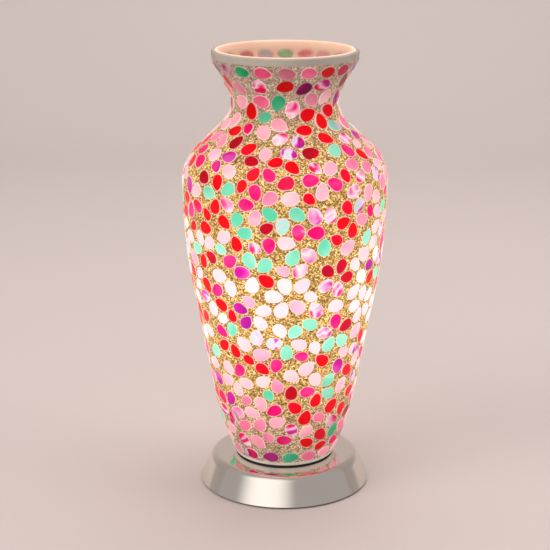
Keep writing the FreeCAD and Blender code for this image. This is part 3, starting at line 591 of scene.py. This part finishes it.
def chip_mesh(node, dice):
    places, faces, edges, own_places, numbers = [], [], [], [], []
    for corners, normal in islands(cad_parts[node].data):
        middle = corners.mean(axis=0)
        if middle[0] * normal[0] + middle[1] * normal[1] < 0:
            normal = -normal
        top = corners[(corners - middle) @ normal > 0]
        centre = top.mean(axis=0)
        ring, axis, across = even_ring(top, centre, normal)
        wobble = 1 - 0.035 * np.abs(np.sin(np.linspace(0, TURN, CHIP_POINTS) * dice.choice((1.5, 2, 2.5))
                                           + dice.uniform(0, TURN)))
        ring = ring * wobble[:, None]
        tilt = np.array((dice.uniform(-0.02, 0.02), dice.uniform(-0.02, 0.02)))
        number = dice.random()
        offset = np.array([dice.uniform(0, 9) for _ in range(3)])
        first = len(places)

        def lay(points, depth, edge):
            sink = depth * MM + points @ tilt + np.linalg.norm(tilt) * CHIP_HALF_LENGTH
            spot = centre + np.outer(points[:, 0], axis) + np.outer(points[:, 1], across)
            spot = spot - np.outer(sink, normal)
            return spot, points, edge

        reach = np.linalg.norm(ring, axis=1)
        layers = []
        base = centre + np.outer(ring[:, 0], axis) + np.outer(ring[:, 1], across)
        small = CHIP_BACK_SHRINK * ring
        back = centre + np.outer(small[:, 0], axis) + np.outer(small[:, 1], across)
        layers.append((on_bed(back, normal), small, 0.9))
        # The foot ring on the glass carries edge mark -1, which the chip paint darkens as painted shade
        layers.append((on_bed(base, normal), ring, -1.0))
        for shrink, depth in CHIP_LAYERS:
            points = ring * (1 - shrink * MM / reach)[:, None]
            layers.append(lay(points, depth, min(1.0, shrink / EDGE_WIDTH)))
        for spot, points, edge in layers:
            places.extend(spot.tolist())
            edges.extend([edge] * CHIP_POINTS)
            own_places.extend((np.c_[points, np.zeros(CHIP_POINTS)] + offset).tolist())
        for layer in range(len(layers) - 1):
            low = first + layer * CHIP_POINTS
            for column in range(CHIP_POINTS):
                after = (column + 1) % CHIP_POINTS
                high = low + CHIP_POINTS
                faces.append((low + column, low + after, high + after, high + column))
        spot, points, edge = lay(np.zeros((1, 2)), 0.0, 1.0)
        places.extend(spot.tolist())
        bed = on_bed(centre[None, :], normal)
        places.extend(bed.tolist())
        edges.extend([1.0, 0.9])
        own_places.extend([offset.tolist()] * 2)
        crown = len(places) - 2
        last = first + (len(layers) - 1) * CHIP_POINTS
        for column in range(CHIP_POINTS):
            after = (column + 1) % CHIP_POINTS
            faces.append((last + column, last + after, crown))
            faces.append((first + after, first + column, crown + 1))
        numbers.extend([number] * (len(places) - first))
    mesh = bpy.data.meshes.new(node)
    mesh.from_pydata(places, [], faces)
    mesh.attributes.new("chip_edge", "FLOAT", "POINT").data.foreach_set("value", edges)
    mesh.attributes.new("chip_dice", "FLOAT", "POINT").data.foreach_set("value", numbers)
    flat = np.array(own_places, np.float32).ravel()
    mesh.attributes.new("chip_place", "FLOAT_VECTOR", "POINT").data.foreach_set("vector", flat)
    smooth(mesh, 40)
    return mesh


# For each node: colours from its darkest glass to its palest, how deep they go
# from dim light to bright, and how unevenly they dim
CHIP_STOPS = {
    "chips_blush": ([(0.0, (0.96, 0.36, 0.46)), (0.5, (0.97, 0.47, 0.54)), (1.0, (0.98, 0.62, 0.64))],
                    (1.7, 1.35, 0.95, 0.42), 1.1),
    "chips_pink": ([(0.0, (0.92, 0.18, 0.32)), (0.5, (0.95, 0.30, 0.44)), (1.0, (0.97, 0.50, 0.58))],
                   (1.7, 1.35, 1.05, 0.55), 1.2),
    "chips_hot_pink": ([(0.0, (0.80, 0.0, 0.10)), (0.5, (0.88, 0.004, 0.18)), (1.0, (0.94, 0.05, 0.28))],
                       (1.5, 1.15, 1.0, 0.92), 1.5),
    "chips_red": ([(0.0, (0.74, 0.0, 0.004)), (0.6, (0.92, 0.0, 0.006)), (1.0, (0.92, 0.002, 0.04))],
                  (1.6, 1.2, 1.0, 1.0), 1.7),
    "chips_crimson": ([(0.0, (0.38, 0.0, 0.008)), (1.0, (0.72, 0.0, 0.02))],
                      (1.9, 1.4, 1.0, 0.9), 2.8),
    "chips_mint": ([(0.0, (0.10, 0.62, 0.36)), (0.45, (0.22, 0.74, 0.49)), (1.0, (0.40, 0.84, 0.64))],
                   (2.6, 2.0, 1.15, 0.72), 2.4),
    "chips_cream": ([(0.0, (0.97, 0.82, 0.66)), (1.0, (1.0, 0.95, 0.78))],
                    (1.6, 1.3, 1.0, 0.6), 1.2),
    "chips_magenta": ([(0.0, (0.34, 0.002, 0.22)), (0.5, (0.66, 0.004, 0.30)), (1.0, (0.80, 0.12, 0.50))],
                      (1.7, 1.3, 1.0, 0.85), 2.6),
}
MARBLED_STOPS = {
    "chips_marbled_rose": ([
        (0.0, (0.82, 0.004, 0.06)), (0.30, (0.86, 0.03, 0.22)), (0.46, (0.95, 0.42, 0.56)),
        (0.62, (0.97, 0.76, 0.78)), (0.80, (0.94, 0.36, 0.58)), (1.0, (0.70, 0.03, 0.36))],
        (1.7, 1.35, 1.0, 0.75), 1.6),
    "chips_marbled_violet": ([
        (0.0, (0.40, 0.74, 0.62)), (0.26, (0.66, 0.62, 0.72)), (0.46, (0.90, 0.66, 0.80)),
        (0.62, (0.66, 0.08, 0.46)), (0.80, (0.44, 0.004, 0.26)), (1.0, (0.86, 0.02, 0.20))],
        (2.0, 1.5, 1.0, 0.8), 2.2),
}


def make_chips():
    dice = random.Random(7)
    for node, (stops, depths, spread) in (CHIP_STOPS | MARBLED_STOPS).items():
        marbled = node in MARBLED_STOPS
        material = chip_paint(node.replace("chips", "stained_glass"), stops, depths, spread, marbled)
        mesh = chip_mesh(node, dice)
        new_object("glass_" + node, mesh, "shade", node, material)


def wall_mesh(name, depth_out, depth_in, low, high, step, segments, relief):
    """A wall of revolution between two depths below the shade's outline, with soft lumps outside."""
    outer = shade_line(depth_out, low, high, step)
    inner = shade_line(depth_in, low, high, 4.0)[::-1]
    mesh = lathe(name, np.vstack([outer, inner]), segments)
    line = shade_line(0.5 * (depth_out + depth_in), low, high, 1.0)
    for vertex in mesh.vertices:
        spot = vertex.co
        radius = math.hypot(spot.x, spot.y)
        if radius / MM > np.interp(spot.z / MM, line[:, 1], line[:, 0]):
            lump = noise.noise(spot * 420) * 0.6 + noise.noise(spot * 1100) * 0.4
            shrink = 1 - relief * MM * (0.5 + 0.5 * lump) / radius
            spot.x *= shrink
            spot.y *= shrink
    return mesh


def mark_inside(mesh, depth, low, high):
    """Mark each point of a wall: 1 on its inner face, 0 on its outer one."""
    line = shade_line(depth, low, high, 1.0)
    marks = [
        float(math.hypot(vertex.co.x, vertex.co.y) / MM < np.interp(vertex.co.z / MM, line[:, 1], line[:, 0]))
        for vertex in mesh.vertices
    ]
    mesh.attributes.new("inside", "FLOAT", "POINT").data.foreach_set("value", marks)


def make_shade_wall():
    grout = wall_mesh("grout", GROUT_DEPTH - 0.1, GLASS_DEPTH, FOOT_BAND_TOP, RIM_BAND_FOOT, 1.3, 330, 0.35)
    mark_inside(grout, 0.5 * (GROUT_DEPTH + GLASS_DEPTH), FOOT_BAND_TOP, RIM_BAND_FOOT)
    new_object("glitter_grout_coat", grout, "shade", "glitter_grout", grout_paint())
    rim_paint = plain_grout_paint("rim_grout", (1.0, 0.74, 0.58), 0.02)
    foot_paint = plain_grout_paint("foot_grout", (1.0, 0.84, 0.74), 0.30)
    outer = shade_line(GROUT_DEPTH - 0.25, RIM_BAND_FOOT, SHADE_TOP - 1.6, 1.0)
    inner = shade_line(GLASS_DEPTH + 0.02, RIM_BAND_FOOT, SHADE_TOP - 0.5, 1.0)[::-1]
    lip = [(outer[-1][0] - 0.25, SHADE_TOP - 1.05), (outer[-1][0] - 0.95, SHADE_TOP - 0.55)]
    rim = lathe("rim", np.vstack([outer, lip, inner]), 256)
    new_object("plain_rim_band", rim, "shade", "rim_band", rim_paint)
    outer = shade_line(GROUT_DEPTH - 0.2, SHADE_FOOT + 0.6, FOOT_BAND_TOP, 1.0)
    inner = shade_line(GLASS_DEPTH + 0.02, SHADE_FOOT + 0.05, FOOT_BAND_TOP, 1.0)[::-1]
    lip = [(outer[0][0] - 0.6, SHADE_FOOT + 0.1)]
    foot = lathe("foot", np.vstack([lip, outer, inner]), 256)
    new_object("plain_foot_band", foot, "shade", "foot_band", foot_paint)


def make_vase_glass():
    outer = shade_line(GLASS_DEPTH + 0.1, SHADE_FOOT, SHADE_TOP - 1.2, 2.0)
    inner = shade_line(GLASS_DEPTH + GLASS_WALL, SHADE_FOOT, SHADE_TOP - 1.2, 2.0)[::-1]
    middle = 0.5 * (outer[-1][0] + inner[0][0])
    half = 0.5 * (outer[-1][0] - inner[0][0])
    crown = [
        (middle + half * math.cos(a), SHADE_TOP - 1.2 + 1.2 * math.sin(a))
        for a in np.linspace(0, math.pi, 12)[1:-1]
    ]
    mesh = lathe("vase", np.vstack([outer, crown, inner]), 256)
    new_object("frosted_glass_vase", mesh, "shade", "glass_vase", vase_glass_paint())


# Base, holder and bulb

def turned(name, node, points, bevel, material):
    """A lathe-turned piece with rounded edges, in place of one CAD node."""
    mesh = lathe(name, bevelled(points, bevel))
    new_object(name, mesh, "base", node, material)


def ring_points(node, r_in):
    """The square section of a ring from its CAD box and inner radius."""
    low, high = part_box(node)
    r_out = high.x / MM
    return [(r_in, low.z / MM), (r_out, low.z / MM), (r_out, high.z / MM), (r_in, high.z / MM)]


def make_base():
    outer = rounded(BASE_CORNERS, 0.8)
    inner = rounded(inset(BASE_CORNERS, BASE_SHEET), 0.8)[::-1]
    hem = outer[0] + (inner[-1] - outer[0]) * 0.5 + unit(outer[0] - outer[1]) * 0.3
    mesh = lathe("base", np.vstack([outer, inner, [hem]]), 256)
    new_object("polished_base", mesh, "base", "base_shell", chrome_paint())
    rubber = plastic_paint("black_rubber", (0.012, 0.012, 0.013), 0.55)
    turned("rubber_foot", "foot_ring", ring_points("foot_ring", 58.5), 0.4, rubber)
    turned("rubber_seat", "seat_gasket", ring_points("seat_gasket", 33.6), 0.5, rubber)
    return rubber


def assign(material, *nodes):
    for node in nodes:
        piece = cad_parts[node]
        piece.data.materials.clear()
        piece.data.materials.append(material)


def make_inner_parts(rubber):
    steel = metal_paint("turned_steel", (0.62, 0.61, 0.60), 0.28)
    zinc = metal_paint("zinc_plated_steel", (0.66, 0.67, 0.68), 0.3)
    brass = metal_paint("contact_brass", (0.78, 0.56, 0.25), 0.25)
    nickel = metal_paint("nickel_cap", (0.72, 0.69, 0.64), 0.2)
    solder = metal_paint("solder", (0.6, 0.6, 0.6), 0.4)
    plate = plastic_paint("black_enamel", (0.02, 0.02, 0.022), 0.35)
    black = plastic_paint("black_moulding", (0.018, 0.018, 0.02), 0.25)
    ceramic = plastic_paint("holder_ceramic", (0.82, 0.79, 0.73), 0.4, 0.05)
    nylon = plastic_paint("white_nylon", (0.76, 0.75, 0.71), 0.4, 0.05)
    assign(steel, "clamp_washer", "stem_nut", "threaded_stem", "gallery_ring", "gallery_nut")
    assign(zinc, "plate_screws", "cord_grip_screws", "terminal_screws", "earth_screw")
    assign(brass, "holder_terminals", "screw_shell", "centre_contact", "terminal_sleeves")
    assign(nickel, "bulb_cap")
    assign(solder, "bulb_tip_contact", "earth_tag")
    assign(plate, "bottom_plate")
    assign(black, "lampholder_cap", "lampholder_barrel", "lampholder_ring", "cord_grip", "bulb_cap_insulator")
    assign(ceramic, "lampholder_insert")
    assign(nylon, "terminal_block")
    assign(rubber, "cord_grommet")
    assign(iron_paint(), "ballast_disc")
    assign(chrome_paint("plated_stem_cover"), "stem_cover")
    assign(plastic_paint("brown_insulation", (0.20, 0.07, 0.03), 0.4), "live_lead")
    assign(plastic_paint("blue_insulation", (0.02, 0.10, 0.5), 0.4), "neutral_lead")
    assign(striped_paint("earth_insulation", (0.05, 0.35, 0.05), (0.85, 0.7, 0.05)), "earth_lead")
    assign(plastic_paint("driver_board", (0.04, 0.18, 0.08), 0.45), "bulb_driver")
    assign(opal_paint(), "bulb_envelope")
    assign(lit_rod_paint(), "led_filaments")
    assign(clear_glass_paint(), "bulb_stem")


# Stage

def stage_paint(name, colour):
    paint = Paint(name)
    tone = paint.noise(3.0, detail=2.0)
    share = paint.map(tone, 0.3, 0.7, 0.0, 0.06)
    paint.set(Base_Color=paint.mix(share, colour, (0.6, 0.55, 0.53)), Roughness=0.6)
    return paint.material


def make_stage():
    """A pale floor that sweeps up into a backdrop."""
    line = [(-12.0, 0.0), (1.3, 0.0)]
    line += [(1.3 + 0.7 * math.sin(a), 0.7 - 0.7 * math.cos(a)) for a in np.linspace(0, math.pi / 2, 16)[1:]]
    line += [(2.0, 4.0)]
    places = [(x, y, z) for y, z in line for x in (-12.0, 12.0)]
    faces = [(i * 2, i * 2 + 1, i * 2 + 3, i * 2 + 2) for i in range(len(line) - 1)]
    mesh = bpy.data.meshes.new("floor")
    mesh.from_pydata(places, [], faces)
    mesh.shade_smooth()
    mesh.materials.append(stage_paint("pale_floor", (0.66, 0.605, 0.585)))
    floor = bpy.data.objects.new("floor", mesh)
    bpy.context.scene.collection.objects.link(floor)


def area_light(name, place, aim, size, power, colour):
    light = bpy.data.lights.new(name, "AREA")
    light.shape = "RECTANGLE"
    light.size, light.size_y = size
    light.energy = power
    light.color = colour
    lamp = bpy.data.objects.new(name, light)
    lamp.location = place
    lamp.visible_glossy = False
    lamp.rotation_euler = (Vector(aim) - Vector(place)).to_track_quat("-Z", "Y").to_euler()
    bpy.context.scene.collection.objects.link(lamp)


def make_light():
    """A pale studio, brighter high in front and to the left, with soft lights at both sides."""
    world = bpy.data.worlds.new("studio")
    bpy.context.scene.world = world
    world.use_nodes = True
    tree = world.node_tree
    background = tree.nodes["Background"]
    background.inputs["Color"].default_value = (1.0, 0.93, 0.89, 1.0)
    place = tree.nodes.new("ShaderNodeTexCoord")
    towards = tree.nodes.new("ShaderNodeVectorMath")
    towards.operation = "DOT_PRODUCT"
    towards.inputs[1].default_value = Vector(SKY_BRIGHT_SIDE).normalized()
    tree.links.new(place.outputs["Generated"], towards.inputs[0])
    falloff = tree.nodes.new("ShaderNodeMapRange")
    falloff.interpolation_type = "SMOOTHSTEP"
    for socket, number in zip(falloff.inputs[1:5], SKY_FALLOFF):
        socket.default_value = number
    tree.links.new(towards.outputs["Value"], falloff.inputs[0])
    tree.links.new(falloff.outputs["Result"], background.inputs["Strength"])
    area_light("left_softbox", (-1.3, -0.7, 1.0), (0, 0, 0.15), (0.8, 1.2), 8.0, (1.0, 0.93, 0.88))
    area_light("right_softbox", (1.5, -0.3, 1.1), (0, 0, 0.15), (0.8, 1.2), 6.0, (1.0, 0.90, 0.86))
    area_light("top_softbox", (0.2, 0.5, 1.8), (0, 0, 0.1), (1.6, 1.6), 16.0, (1.0, 0.95, 0.92))


def make_camera():
    data = bpy.data.cameras.new("camera")
    data.sensor_width = 36.0
    data.lens = 99.4
    camera = bpy.data.objects.new("camera", data)
    camera.location = (-0.0078, -1.167, 0.504)
    camera.rotation_euler = (math.radians(90 - 15.86), 0, 0)
    bpy.context.scene.collection.objects.link(camera)
    bpy.context.scene.camera = camera


bpy.context.scene.view_settings.view_transform = "Standard"
make_camera()
make_light()
make_stage()
make_chips()
make_shade_wall()
make_vase_glass()
make_inner_parts(make_base())
